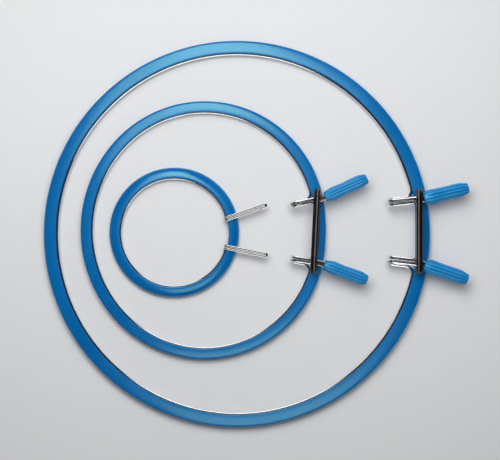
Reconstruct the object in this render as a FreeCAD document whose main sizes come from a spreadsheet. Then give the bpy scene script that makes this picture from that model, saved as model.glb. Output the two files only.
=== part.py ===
# Set of three nesting spring hoops for holding fabric taut.
#
# Each hoop is a moulded outer ring with a groove on its inner wall and an
# open ring of spring wire that snaps into that groove.  The two ends of the
# wire leave the groove, turn inwards, loop up and come back out over the ring
# as doubled handles.  Pinching the handles together closes the wire and pulls
# it out of the groove.  On the two bigger hoops the handles run through one
# long slot in a loose guide plate and end in moulded, fluted grips.  The
# smallest hoop has bare wire handles.
#
# Millimetres, +Z up.  The hoops lie flat on the XY plane with their handles
# towards +X.  The origin is the centre of the whole set's footprint.
import FreeCAD, Part
import math
import os

import Sketcher

V = FreeCAD.Vector
DOC = FreeCAD.newDocument("spring_hoop_set")

# ----------------------------------------------------------------- sizes
SHEET = DOC.addObject("Spreadsheet::Sheet", "Sizes")
ROWS = [
    # large hoop
    ("large_centre_x", -13.165), ("large_centre_y", 0.0),
    ("large_ring_outer", 134.5), ("large_ring_inner", 125.9),
    ("large_ring_height", 8.4), ("large_round_top", 2.4), ("large_round_inner", 1.9),
    ("large_wire_dia", 2.4), ("large_handle_pitch", 2.9),
    ("large_gap_turn", 0.95), ("large_pivot_angle", 134.0),
    ("large_handle_height", 14.05),
    # medium hoop: an oval of four tangent arcs
    ("medium_centre_x", -35.655), ("medium_centre_y", 2.59),
    ("medium_side_outer", 84.24), ("medium_side_shift", 5.71),
    ("medium_back_shift", 6.20), ("medium_gap_angle", 5.6),
    ("medium_ring_width", 7.4),
    ("medium_ring_height", 7.6), ("medium_round_top", 2.4), ("medium_round_inner", 2.0),
    ("medium_wire_dia", 2.0), ("medium_handle_pitch", 2.15),
    ("medium_handle_height", 13.45),
    # small hoop
    ("small_centre_x", -56.885), ("small_centre_y", 1.06),
    ("small_ring_outer", 45.25), ("small_ring_inner", 38.05),
    ("small_ring_height", 7.2), ("small_round_top", 2.9), ("small_round_inner", 2.3),
    ("small_wire_dia", 1.8), ("small_handle_pitch", 2.0),
    ("small_gap_turn", -0.5), ("small_pivot_angle", 134.0),
    ("small_handle_height", 8.7),
    # shared
    ("round_bottom", 0.8), ("wire_proud", 0.2), ("groove_clear", 0.15),
    ("hinge_gap", 0.12),
    # guide plate
    ("guide_length", 59.0), ("guide_height", 10.5), ("guide_thick", 4.4),
    ("guide_slot_length", 51.9), ("guide_slot_height", 3.4), ("guide_edge", 0.9),
    ("large_guide_x", 125.9), ("large_guide_y", 1.64),
    ("medium_guide_x", 77.05), ("medium_guide_y", -0.65),
    ("medium_guide_turn", -2.8), ("medium_guide_lean", -7.0),
    # grips
    ("grip_length", 31.9), ("grip_root_round", 0.9), ("grip_nose_round", 1.6),
    ("large_grip_root", 4.5), ("large_grip_belly", 5.2), ("large_grip_belly_at", 5.0),
    ("large_grip_waist", 4.85), ("large_grip_swell", 4.95), ("large_grip_shoulder", 4.75),
    ("large_grip_nose", 3.8),
    ("medium_grip_root", 3.65), ("medium_grip_belly", 4.65), ("medium_grip_belly_at", 6.2),
    ("medium_grip_waist", 4.25), ("medium_grip_swell", 4.5), ("medium_grip_shoulder", 4.45),
    ("medium_grip_nose", 3.6),
    ("grip_pocket_depth", 24.6), ("grip_pocket_clear", 0.08),
    ("flute_radius", 0.72), ("flute_count", 12),
]
for i, (alias, value) in enumerate(ROWS, start=1):
    SHEET.set("A%d" % i, alias)
    SHEET.set("B%d" % i, repr(value))
    SHEET.setAlias("B%d" % i, alias)
DOC.recompute()


def S(name):
    """A driving size, read from the sheet."""
    return float(SHEET.get(name))


# medium oval: where the side and back arcs meet, and the flat arc at the gap
def oval(offset):
    """Centres, radii and meeting angles of the medium oval, moved inwards by offset."""
    rs, dy = S("medium_side_outer"), S("medium_side_shift")
    dx = S("medium_back_shift")
    rb = rs + math.hypot(dx, dy)                          # tangent to the side arcs
    back = 180.0 - math.degrees(math.atan2(dy, dx))       # direction of the back joint
    gap = S("medium_gap_angle")                           # direction of the gap joint
    shift = dy / math.tan(math.radians(gap))
    rg = rs + dy / math.sin(math.radians(gap))
    return {
        "side_r": rs - offset, "side_c": (0.0, dy),
        "back_r": rb - offset, "back_c": (dx, 0.0), "back_a": back,
        "gap_r": rg - offset, "gap_c": (-shift, 0.0), "gap_a": gap,
    }


# ------------------------------------------------------------- small helpers
def plane(body, role):
    for f in body.Origin.OriginFeatures:
        if f.Role == role:
            return f
    raise RuntimeError("no plane " + role)


def new_body(label):
    b = DOC.addObject("PartDesign::Body", label)
    b.Label = label
    return b


def new_sketch(body, name, role):
    s = body.newObject("Sketcher::SketchObject", name)
    s.AttachmentSupport = [(plane(body, role), "")]
    s.MapMode = "FlatFace"
    return s


def name_and_bind(sk, index, name, expression):
    sk.renameConstraint(index, name)
    sk.setExpression("Constraints." + name, expression)


def arc(cx, cy, r, a0, a1):
    return Part.ArcOfCircle(Part.Circle(V(cx, cy, 0), V(0, 0, 1), r),
                            math.radians(a0), math.radians(a1))


def line(x0, y0, x1, y1):
    return Part.LineSegment(V(x0, y0, 0), V(x1, y1, 0))


def ring_profile(body, ro, ri, h, rt, rn, rb, rw, zc, rg, bind):
    """Cross-section of a ring: flat base, rounded top, wire groove in the inner wall."""
    sk = new_sketch(body, body.Label + "_section", "XZ_Plane")
    dz = math.sqrt(rg * rg - (ri - rw) ** 2)
    ga = math.degrees(math.atan2(dz, ri - rw))
    g = [
        line(ri + rb, 0, ro - rb, 0),                    # 0 base
        arc(ro - rb, rb, rb, -90, 0),                    # 1
        line(ro, rb, ro, h - rt),                        # 2 outer wall
        arc(ro - rt, h - rt, rt, 0, 90),                 # 3
        line(ro - rt, h, ri + rn, h),                    # 4 top
        arc(ri + rn, h - rn, rn, 90, 180),               # 5
        line(ri, h - rn, ri, zc + dz),                   # 6 inner wall above the groove
        arc(rw, zc, rg, -ga, ga),                        # 7 groove
        line(ri, zc - dz, ri, rb),                       # 8 inner wall below the groove
        arc(ri + rb, rb, rb, 180, 270),                  # 9
    ]
    sk.addGeometry(g, False)
    C = Sketcher.Constraint
    for a, pa, b, pb in [(0, 2, 1, 1), (1, 2, 2, 1), (2, 2, 3, 1), (3, 2, 4, 1),
                         (4, 2, 5, 1), (5, 2, 6, 1), (8, 2, 9, 1), (9, 2, 0, 1)]:
        sk.addConstraint(C("Tangent", a, pa, b, pb))
    sk.addConstraint(C("Coincident", 6, 2, 7, 2))
    sk.addConstraint(C("Coincident", 7, 1, 8, 1))
    sk.addConstraint(C("Horizontal", 0))
    sk.addConstraint(C("Vertical", 6))
    sk.addConstraint(C("PointOnObject", 0, 1, -1))
    named = [
        ("outer_radius", C("DistanceX", -1, 1, 2, 1, ro)),
        ("inner_radius", C("DistanceX", -1, 1, 8, 2, ri)),
        ("height", C("DistanceY", -1, 1, 4, 1, h)),
        ("round_top", C("Radius", 3, rt)),
        ("round_inner", C("Radius", 5, rn)),
        ("round_base_outer", C("Radius", 1, rb)),
        ("round_base_inner", C("Radius", 9, rb)),
        ("groove_radius", C("Radius", 7, rg)),
        ("groove_centre_x", C("DistanceX", -1, 1, 7, 3, rw)),
        ("groove_centre_z", C("DistanceY", -1, 1, 7, 3, zc)),
    ]
    for nm, c in named:
        i = sk.addConstraint(c)
        name_and_bind(sk, i, nm, bind[nm])
    sk.addConstraint(C("Vertical", 8))
    sk.addConstraint(C("PointOnObject", 8, 1, 6))
    return sk


def size_binds(hoop, outer, inner):
    h = "Sizes.%s_ring_height" % hoop
    return {
        "outer_radius": outer, "inner_radius": inner, "height": h,
        "round_top": "Sizes.%s_round_top" % hoop,
        "round_inner": "Sizes.%s_round_inner" % hoop,
        "round_base_outer": "Sizes.round_bottom", "round_base_inner": "Sizes.round_bottom",
        "groove_radius": "Sizes.%s_wire_dia / 2 + Sizes.groove_clear" % hoop,
        "groove_centre_x": "(%s) - Sizes.wire_proud" % inner,
        "groove_centre_z": h + " / 2",
    }


def round_ring(hoop):
    """Outer ring of the large or small hoop, turned about the hoop's axis."""
    body = new_body(hoop + "_outer_ring")
    ro, ri, h = S(hoop + "_ring_outer"), S(hoop + "_ring_inner"), S(hoop + "_ring_height")
    rg = S(hoop + "_wire_dia") / 2 + S("groove_clear")
    sk = ring_profile(body, ro, ri, h, S(hoop + "_round_top"), S(hoop + "_round_inner"),
                      S("round_bottom"), ri - S("wire_proud"), h / 2, rg,
                      size_binds(hoop, "Sizes.%s_ring_outer" % hoop, "Sizes.%s_ring_inner" % hoop))
    rev = body.newObject("PartDesign::Revolution", body.Label + "_turned")
    rev.Profile = sk
    rev.ReferenceAxis = (sk, ["V_Axis"])
    rev.Angle = 360.0
    body.Tip = rev
    body.Placement = FreeCAD.Placement(V(S(hoop + "_centre_x"), S(hoop + "_centre_y"), 0),
                                       FreeCAD.Rotation())
    return body


def oval_ring():
    """Outer ring of the medium hoop, swept along its oval of four tangent arcs."""
    body = new_body("medium_outer_ring")
    w, h = S("medium_ring_width"), S("medium_ring_height")
    out, mid = oval(0.0), oval(w / 2)
    ro = out["gap_c"][0] + out["gap_r"]
    ri = ro - w
    rg = S("medium_wire_dia") / 2 + S("groove_clear")
    ang = "(Sizes.medium_gap_angle * 1 deg)"
    outer = ("(Sizes.medium_side_outer + Sizes.medium_side_shift / sin%s"
             " - Sizes.medium_side_shift / tan%s)" % (ang, ang))
    sk = ring_profile(body, ro, ri, h, S("medium_round_top"), S("medium_round_inner"),
                      S("round_bottom"), ri - S("wire_proud"), h / 2, rg,
                      size_binds("medium", outer, outer + " - Sizes.medium_ring_width"))
    sp = new_sketch(body, "medium_oval_path", "XY_Plane")
    ga, ba = mid["gap_a"], mid["back_a"]
    sp.addGeometry([
        arc(mid["gap_c"][0], 0, mid["gap_r"], 0, ga),
        arc(0, mid["side_c"][1], mid["side_r"], ga, ba),
        arc(mid["back_c"][0], 0, mid["back_r"], ba, 360 - ba),
        arc(0, -mid["side_c"][1], mid["side_r"], 360 - ba, 360 - ga),
        arc(mid["gap_c"][0], 0, mid["gap_r"], 360 - ga, 360),
    ], False)
    C = Sketcher.Constraint
    for a in range(4):
        sp.addConstraint(C("Tangent", a, 2, a + 1, 1))
    sp.addConstraint(C("Coincident", 4, 2, 0, 1))
    sp.addConstraint(C("PointOnObject", 0, 3, -1))
    sp.addConstraint(C("PointOnObject", 0, 1, -1))
    sp.addConstraint(C("Coincident", 4, 3, 0, 3))
    sp.addConstraint(C("PointOnObject", 1, 3, -2))
    sp.addConstraint(C("PointOnObject", 2, 3, -1))
    sp.addConstraint(C("PointOnObject", 3, 3, -2))
    named = [
        ("side_radius", C("Radius", 1, mid["side_r"]), "Sizes.medium_side_outer - Sizes.medium_ring_width / 2"),
        ("side_shift", C("DistanceY", -1, 1, 1, 3, mid["side_c"][1]), "Sizes.medium_side_shift"),
        ("back_shift", C("DistanceX", -1, 1, 2, 3, mid["back_c"][0]), "Sizes.medium_back_shift"),
        ("gap_radius", C("Radius", 0, mid["gap_r"]),
         "Sizes.medium_side_outer + Sizes.medium_side_shift / sin%s - Sizes.medium_ring_width / 2" % ang),
    ]
    for nm, c, ex in named:
        name_and_bind(sp, sp.addConstraint(c), nm, ex)
    DOC.recompute()
    pipe = body.newObject("PartDesign::AdditivePipe", "medium_ring_swept")
    pipe.Profile = sk
    pipe.Spine = (sp, ["Edge1", "Edge2", "Edge3", "Edge4", "Edge5"])
    pipe.Mode = "Frenet"
    body.Tip = pipe
    body.Placement = FreeCAD.Placement(V(S("medium_centre_x"), S("medium_centre_y"), 0),
                                       FreeCAD.Rotation())
    return body


def spring_back(hoop, radius, centre_dx, half_angle, turn):
    """The part of the spring wire that stays still: the arc opposite the gap."""
    body = new_body(hoop + "_spring_back")
    h, d = S(hoop + "_ring_height"), S(hoop + "_wire_dia")
    sk = new_sketch(body, body.Label + "_section", "XZ_Plane")
    sk.addGeometry([Part.Circle(V(radius, h / 2, 0), V(0, 0, 1), d / 2)], False)
    C = Sketcher.Constraint
    rad = {"large": "Sizes.large_ring_inner - Sizes.wire_proud",
           "small": "Sizes.small_ring_inner - Sizes.wire_proud",
           "medium": "Sizes.medium_side_outer + sqrt(Sizes.medium_side_shift ^ 2 + Sizes.medium_back_shift ^ 2)"
                     " - Sizes.medium_ring_width - Sizes.wire_proud"}[hoop]
    name_and_bind(sk, sk.addConstraint(C("Radius", 0, d / 2)), "wire_radius",
                  "Sizes.%s_wire_dia / 2" % hoop)
    name_and_bind(sk, sk.addConstraint(C("DistanceX", -1, 1, 0, 3, radius)), "ring_radius", rad)
    name_and_bind(sk, sk.addConstraint(C("DistanceY", -1, 1, 0, 3, h / 2)), "wire_height",
                  "Sizes.%s_ring_height / 2" % hoop)
    gap = math.degrees(S("hinge_gap") / 2 / radius)
    rev = body.newObject("PartDesign::Revolution", body.Label + "_bent")
    rev.Profile = sk
    rev.ReferenceAxis = (sk, ["V_Axis"])
    rev.Angle = 2 * (half_angle - gap)
    rev.Midplane = True
    body.Tip = rev
    place = FreeCAD.Placement(V(S(hoop + "_centre_x") + centre_dx, S(hoop + "_centre_y"), 0),
                              FreeCAD.Rotation(V(0, 0, 1), 180.0 + turn))
    body.Placement = place
    return body


# ---------------------------------------------------------- bent wire arms
class Bend(object):
    """A path of straight runs and tangent arcs in space."""

    def __init__(self, p, d):
        self.p, self.d, self.edges, self.length = V(p), V(d).normalize(), [], 0.0

    def run(self, length):
        q = self.p + self.d * length
        self.edges.append(Part.makeLine(self.p, q))
        self.p = q
        self.length += length
        return self

    def turn(self, radius, axis, degrees):
        """Turns the heading by the right-hand rule about axis, on an arc of that radius."""
        axis = V(axis).normalize()
        out = self.d.cross(axis)                      # from the centre to the path
        c = self.p - out * radius
        rel = self.p - c
        half = FreeCAD.Rotation(axis, degrees / 2.0).multVec(rel)
        full = FreeCAD.Rotation(axis, degrees).multVec(rel)
        self.edges.append(Part.Arc(self.p, c + half, c + full).toShape())
        self.p = c + full
        self.d = FreeCAD.Rotation(axis, degrees).multVec(self.d)
        self.length += radius * math.radians(degrees)
        return self

    def solid(self, dia, mirror):
        wire = Part.Wire(self.edges)
        first = self.edges[0]
        start = first.valueAt(first.FirstParameter)
        head = first.tangentAt(first.FirstParameter)
        prof = Part.Wire([Part.makeCircle(dia / 2.0, start, head)])
        s = wire.makePipeShell([prof], True, False)
        want = math.pi * dia * dia / 4.0 * self.length
        if s.ShapeType != "Solid":
            s = s.Solids[0] if s.Solids else Part.makeSolid(s)
        if s.Volume < 0:
            s = s.reversed()
        if abs(s.Volume / want - 1) > 0.004:
            raise RuntimeError("bent wire volume %.2f, expected %.2f" % (s.Volume, want))
        if mirror:
            s = s.mirror(V(0, 0, 0), V(0, 1, 0))
        return s


def place_arm(label, shape, hoop):
    f = DOC.addObject("Part::Feature", label)
    f.Label = label
    f.Shape = shape
    f.Placement = FreeCAD.Placement(V(S(hoop + "_centre_x"), S(hoop + "_centre_y"), 0),
                                    FreeCAD.Rotation())
    return f


def az(a):
    return V(math.cos(math.radians(a)), math.sin(math.radians(a)), 0)


def arm(hoop, side, start_angle, ring_r, ring_c, end_angle, bend_r, top_point, top_az,
        u_x, kink_x, kink_r, grip_az, hairpin_end, hook_r, hook_turn):
    """One half of a big hoop's spring wire, from the flexing point to the grip.

    Worked out for the upper side and mirrored for the lower one.  The path runs
    clockwise along the groove, bends inwards, loops up and back over the ring,
    runs out through the guide plate, turns round inside the grip and comes back
    beside itself to a short hook.
    """
    d, pitch = S(hoop + "_wire_dia"), S(hoop + "_handle_pitch")
    z0, z1 = S(hoop + "_ring_height") / 2.0, S(hoop + "_handle_height")
    ring_c = V(ring_c[0], ring_c[1], 0)
    gap = math.degrees(S("hinge_gap") / 2 / ring_r)
    a0 = start_angle - gap
    b = Bend(ring_c + az(a0) * ring_r + V(0, 0, z0), az(a0 - 90))
    b.turn(ring_r, V(0, 0, -1), a0 - end_angle)
    # inwards, until the wire heads straight away from the grip
    b.turn(bend_r, V(0, 0, -1), (end_angle - 90) - (top_az - 180))
    out, left = az(top_az), az(top_az + 90)
    top = V(top_point[0], top_point[1], 0) + left * (pitch / 2.0)   # line of the outgoing wire
    start_u = top + out * ((u_x - top.x) / out.x)
    b.run((b.p - start_u).dot(out))
    # the upright loop, tilted so that it lands on the outgoing line
    lateral = (start_u - b.p).dot(left)
    rise = z1 - z0
    across = left * lateral + V(0, 0, rise)
    b.turn(across.Length / 2.0, b.d.cross(across), 180.0)
    # out through the guide plate, with a slight kink there
    kink = abs(grip_az - top_az)
    t_in = kink_r * math.tan(math.radians(kink / 2.0))
    mid = V(top_point[0], top_point[1], 0)
    mid = mid + out * ((kink_x - mid.x) / out.x)                   # kink on the centre line
    # kink_r is the centre line's radius; the outgoing wire is on its inner side
    first = (mid - b.p).dot(out) - t_in
    b.run(first)
    b.turn(kink_r - pitch / 2.0, V(0, 0, 1), kink)
    along = az(grip_az)
    end_c = V(hairpin_end[0], hairpin_end[1], 0)
    b.run((end_c - b.p).dot(along))
    # round inside the grip and back beside itself
    b.turn(pitch / 2.0, V(0, 0, -1), 180.0)
    back = (b.p - mid).dot(along) - t_in
    b.run(back)
    b.turn(kink_r + pitch / 2.0, V(0, 0, -1), kink)
    b.run((b.p - start_u).dot(out))
    b.turn(hook_r, b.d.cross(V(0, 0, -1)), hook_turn)
    return b.solid(d, side < 0)


def bare_arm(side, end_angle, sweep_r, sweep, rise_r, drop_r, top_az, tip, hook_r):
    """One half of the small hoop's wire: groove, a short rise, and a bare doubled handle."""
    d, pitch = S("small_wire_dia"), S("small_handle_pitch")
    z0, z1 = S("small_ring_height") / 2.0, S("small_handle_height")
    r = S("small_ring_inner") - S("wire_proud")
    gap = math.degrees(S("hinge_gap") / 2 / r)
    a0 = S("small_pivot_angle") + S("small_gap_turn") * side - gap
    b = Bend(az(a0) * r + V(0, 0, z0), az(a0 - 90))
    b.turn(r, V(0, 0, -1), a0 - end_angle)
    b.turn(sweep_r, V(0, 0, -1), sweep)
    b.turn(rise_r, b.d.cross(V(0, 0, 1)), 90.0)
    b.run(z1 - z0 - rise_r - drop_r)
    foot = V(b.p.x, b.p.y, 0)
    out, left = az(top_az), az(top_az + 90)
    b.turn(drop_r, b.d.cross(out), 90.0)
    reach = (V(tip[0], tip[1], 0) - b.p).dot(out) - pitch / 2.0 - d / 2.0
    b.run(reach)
    b.turn(pitch / 2.0, V(0, 0, -1), 180.0)
    b.run((b.p - foot).dot(out) - hook_r)
    b.turn(hook_r, b.d.cross(V(0, 0, -1)), 80.0)
    return b.solid(d, side < 0)


# ------------------------------------------------------------ guide and grip
def guide_plate(hoop, turn, lean):
    """Upright oblong plate with one long slot for both handles."""
    body = new_body(hoop + "_guide_plate")
    L, H = S("guide_length"), S("guide_height")
    sl, sh = S("guide_slot_length"), S("guide_slot_height")
    sk = new_sketch(body, body.Label + "_outline", "YZ_Plane")
    C = Sketcher.Constraint

    def stadium(first, length, height):
        r, x = height / 2.0, (length - height) / 2.0
        sk.addGeometry([line(-x, -r, x, -r), arc(x, 0, r, -90, 90),
                        line(x, r, -x, r), arc(-x, 0, r, 90, 270)], False)
        for i in range(4):
            sk.addConstraint(C("Tangent", first + i, 2, first + (i + 1) % 4, 1))
        sk.addConstraint(C("Horizontal", first))
        sk.addConstraint(C("PointOnObject", first + 1, 3, -1))
        sk.addConstraint(C("Symmetric", first + 1, 3, first + 3, 3, -1, 1))

    stadium(0, L, H)
    name_and_bind(sk, sk.addConstraint(C("Radius", 1, H / 2)), "outline_radius", "Sizes.guide_height / 2")
    name_and_bind(sk, sk.addConstraint(C("DistanceX", 3, 3, 1, 3, L - H)), "outline_centres",
                  "Sizes.guide_length - Sizes.guide_height")
    stadium(4, sl, sh)
    name_and_bind(sk, sk.addConstraint(C("Radius", 5, sh / 2)), "slot_radius", "Sizes.guide_slot_height / 2")
    name_and_bind(sk, sk.addConstraint(C("DistanceX", 7, 3, 5, 3, sl - sh)), "slot_centres",
                  "Sizes.guide_slot_length - Sizes.guide_slot_height")
    pad = body.newObject("PartDesign::Pad", body.Label + "_pad")
    pad.Profile = sk
    pad.Length = S("guide_thick")
    pad.setExpression("Length", "Sizes.guide_thick")
    pad.Midplane = True
    body.Tip = pad
    DOC.recompute()
    edges = []
    for i, e in enumerate(pad.Shape.Edges, start=1):
        bb = e.BoundBox
        flat = bb.XMax - bb.XMin < 1e-6
        outer = max(abs(bb.ZMax), abs(bb.ZMin)) > sh / 2 + 0.5
        if flat and outer:
            edges.append("Edge%d" % i)
    fil = body.newObject("PartDesign::Fillet", body.Label + "_edges")
    fil.Base = (pad, edges)
    fil.Radius = S("guide_edge")
    fil.setExpression("Radius", "Sizes.guide_edge")
    body.Tip = fil
    rot = FreeCAD.Rotation(V(0, 0, 1), turn).multiply(FreeCAD.Rotation(V(0, 1, 0), lean))
    body.Placement = FreeCAD.Placement(
        V(S(hoop + "_centre_x") + S(hoop + "_guide_x"),
          S(hoop + "_centre_y") + S(hoop + "_guide_y"),
          S(hoop + "_handle_height")), rot)
    return body


def grip(label, hoop, root, azimuth):
    """Fluted grip moulded over the doubled wire, along local +Z from its root."""
    body = new_body(label)
    L, rr, re = S("grip_length"), S("grip_root_round"), S("grip_nose_round")
    r0, r1, r2 = S(hoop + "_grip_root"), S(hoop + "_grip_belly"), S(hoop + "_grip_waist")
    r3, r4, r5 = S(hoop + "_grip_swell"), S(hoop + "_grip_shoulder"), S(hoop + "_grip_nose")
    sk = new_sketch(body, label + "_half", "XZ_Plane")
    # root face, root round, belly, waist, swell, shoulder, nose, end face, axis
    z = [0.0, rr, S(hoop + "_grip_belly_at"), 0.43 * L, 0.70 * L, 0.83 * L, L - re, L]
    g = [
        line(0, 0, r0 - rr, 0),
        arc(r0 - rr, rr, rr, -90, 0),
        line(r0, rr, r1, z[2]),
        line(r1, z[2], r2, z[3]),
        line(r2, z[3], r3, z[4]),
        line(r3, z[4], r4, z[5]),
        line(r4, z[5], r5, z[6]),
        arc(r5 - re, z[6], re, 0, 90),
        line(r5 - re, L, 0, L),
        line(0, L, 0, 0),
    ]
    sk.addGeometry(g, False)
    C = Sketcher.Constraint
    for a in range(10):
        sk.addConstraint(C("Coincident", a, 2, (a + 1) % 10, 1))
    sk.addConstraint(C("Horizontal", 0))
    sk.addConstraint(C("Horizontal", 8))
    sk.addConstraint(C("Vertical", 9))
    sk.addConstraint(C("Coincident", 0, 1, -1, 1))
    sk.addConstraint(C("Vertical", 1, 3, 0, 2))
    sk.addConstraint(C("Horizontal", 1, 3, 1, 2))
    sk.addConstraint(C("Horizontal", 7, 3, 7, 1))
    sk.addConstraint(C("Vertical", 7, 3, 7, 2))
    own = "Sizes.%s_grip_" % hoop
    for nm, c, ex in [
        ("root_round", C("Radius", 1, rr), "Sizes.grip_root_round"),
        ("nose_round", C("Radius", 7, re), "Sizes.grip_nose_round"),
        ("root_radius", C("DistanceX", -1, 1, 2, 1, r0), own + "root"),
        ("belly_radius", C("DistanceX", -1, 1, 3, 1, r1), own + "belly"),
        ("belly_at", C("DistanceY", -1, 1, 3, 1, z[2]), own + "belly_at"),
        ("waist_radius", C("DistanceX", -1, 1, 4, 1, r2), own + "waist"),
        ("waist_at", C("DistanceY", -1, 1, 4, 1, z[3]), "Sizes.grip_length * 0.43"),
        ("swell_radius", C("DistanceX", -1, 1, 5, 1, r3), own + "swell"),
        ("swell_at", C("DistanceY", -1, 1, 5, 1, z[4]), "Sizes.grip_length * 0.7"),
        ("shoulder_radius", C("DistanceX", -1, 1, 6, 1, r4), own + "shoulder"),
        ("shoulder_at", C("DistanceY", -1, 1, 6, 1, z[5]), "Sizes.grip_length * 0.83"),
        ("nose_radius", C("DistanceX", -1, 1, 7, 1, r5), own + "nose"),
        ("length", C("DistanceY", -1, 1, 8, 2, L), "Sizes.grip_length"),
    ]:
        name_and_bind(sk, sk.addConstraint(c), nm, ex)
    rev = body.newObject("PartDesign::Revolution", label + "_turned")
    rev.Profile = sk
    rev.ReferenceAxis = (sk, ["V_Axis"])
    rev.Angle = 360.0
    body.Tip = rev
    DOC.recompute()
    # pocket for the doubled wire: its long way lies flat, across the handle
    pitch, d, c = S(hoop + "_handle_pitch"), S(hoop + "_wire_dia"), S("grip_pocket_clear")
    ps = new_sketch(body, label + "_pocket_outline", "XY_Plane")
    r = d / 2 + c
    ps.addGeometry([line(-pitch / 2, -r, pitch / 2, -r), arc(pitch / 2, 0, r, -90, 90),
                    line(pitch / 2, r, -pitch / 2, r), arc(-pitch / 2, 0, r, 90, 270)], False)
    for i in range(4):
        ps.addConstraint(C("Tangent", i, 2, (i + 1) % 4, 1))
    ps.addConstraint(C("Horizontal", 0))
    ps.addConstraint(C("PointOnObject", 1, 3, -1))
    ps.addConstraint(C("Symmetric", 1, 3, 3, 3, -1, 1))
    name_and_bind(ps, ps.addConstraint(C("Radius", 1, r)), "pocket_radius",
                  "Sizes.%s_wire_dia / 2 + Sizes.grip_pocket_clear" % hoop)
    name_and_bind(ps, ps.addConstraint(C("DistanceX", 3, 3, 1, 3, pitch)), "pocket_pitch",
                  "Sizes.%s_handle_pitch" % hoop)
    before = rev.Shape.Volume
    pk = body.newObject("PartDesign::Pocket", label + "_pocket")
    pk.Profile = ps
    pk.Length = S("grip_pocket_depth")
    pk.setExpression("Length", "Sizes.grip_pocket_depth")
    pk.Reversed = True
    body.Tip = pk
    DOC.recompute()
    if not pk.Shape.Volume < before - 50:
        raise RuntimeError(label + ": the pocket cut nothing")
    # flutes along the grip
    fs = new_sketch(body, label + "_flute_outline", "XY_Plane")
    rf, rc = S("flute_radius"), S(hoop + "_grip_belly") + 0.12
    fs.addGeometry([Part.Circle(V(rc, 0, 0), V(0, 0, 1), rf)], False)
    fs.addConstraint(C("PointOnObject", 0, 3, -1))
    name_and_bind(fs, fs.addConstraint(C("Radius", 0, rf)), "flute_radius", "Sizes.flute_radius")
    name_and_bind(fs, fs.addConstraint(C("DistanceX", -1, 1, 0, 3, rc)), "flute_circle",
                  own + "belly + 0.12")
    before = pk.Shape.Volume
    fp = body.newObject("PartDesign::Pocket", label + "_flute")
    fp.Profile = fs
    fp.Type = "ThroughAll"
    fp.Reversed = True
    body.Tip = fp
    DOC.recompute()
    if not fp.Shape.Volume < before - 1:
        raise RuntimeError(label + ": the flute cut nothing")
    pat = body.newObject("PartDesign::PolarPattern", label + "_flutes")
    pat.Originals = [fp]
    pat.Axis = (ps, ["N_Axis"])
    pat.Angle = 360.0
    pat.Occurrences = int(S("flute_count"))
    body.Tip = pat
    # local +Z along the handle, local +X across it and level
    a = az(azimuth)
    rot = FreeCAD.Rotation(V(-a.y, a.x, 0), V(0, 0, 1), a, "ZXY")
    body.Placement = FreeCAD.Placement(
        V(S(hoop + "_centre_x") + root[0], S(hoop + "_centre_y") + root[1],
          S(hoop + "_handle_height")), rot)
    return body


# --------------------------------------------------------------- the pieces
NODES = []

# large hoop
NODES.append(round_ring("large"))
LR = S("large_ring_inner") - S("wire_proud")
NODES.append(spring_back("large", LR, 0.0, 180.0 - S("large_pivot_angle"), S("large_gap_turn")))


def on_line(point, azimuth, x):
    a = az(azimuth)
    return (x, point[1] + (x - point[0]) * a.y / a.x)


# name: side, leaves the groove at, a point on the handle's centre line, its direction,
# loop position, kink position, grip direction, grip root
LARGE = {
    "upper": dict(side=1, end=14.8, point=(109.1, 21.8), top=6.3, u=110.1, kink=126.0, grip=13.6, root=129.2),
    "lower": dict(side=-1, end=13.3, point=(109.0, 17.65), top=6.5, u=110.0, kink=123.6, grip=18.6, root=129.5),
}
MEDIUM = {
    "upper": dict(side=1, end=16.45, point=(63.3, 18.0), top=12.2, u=64.6, kink=81.5, grip=24.4, root=83.5),
    "lower": dict(side=-1, end=18.4, point=(68.5, 20.65), top=9.6, u=64.6, kink=79.2, grip=20.0, root=82.8),
}


def big_hoop(hoop, table, ring_r, ring_c, pivots, bend_r, kink_r):
    for where in ("upper", "lower"):
        t = table[where]
        k = on_line(t["point"], t["top"], t["kink"])
        root = on_line(k, t["grip"], t["root"])
        # the doubled wire turns round a little short of the pocket's end
        reach = S("grip_pocket_depth") - S(hoop + "_handle_pitch") / 2 - S(hoop + "_wire_dia") / 2 - 0.4
        a = az(t["grip"])
        end = (root[0] + a.x * reach, root[1] + a.y * reach)
        shape = arm(hoop, t["side"], pivots[where], ring_r, ring_c, t["end"], bend_r,
                    t["point"], t["top"], t["u"], t["kink"], kink_r, t["grip"], end, 4.4, 95.0)
        NODES.append(place_arm("%s_spring_%s" % (hoop, where), shape, hoop))
        NODES.append(grip("%s_%s_grip" % (hoop, where), hoop,
                          (root[0], t["side"] * root[1]), t["side"] * t["grip"]))


big_hoop("large", LARGE, LR, (0.0, 0.0),
         {"upper": S("large_pivot_angle") + S("large_gap_turn"),
          "lower": S("large_pivot_angle") - S("large_gap_turn")}, 5.5, 30.0)
NODES.append(guide_plate("large", 0.0, 0.0))

# medium hoop
OV = oval(S("medium_ring_width") + S("wire_proud"))
NODES.append(oval_ring())
NODES.append(spring_back("medium", OV["back_r"], OV["back_c"][0], 180.0 - OV["back_a"], 0.0))
big_hoop("medium", MEDIUM, OV["side_r"], OV["side_c"],
         {"upper": OV["back_a"], "lower": OV["back_a"]}, 5.0, 16.0)
NODES.append(guide_plate("medium", S("medium_guide_turn"), S("medium_guide_lean")))

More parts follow.
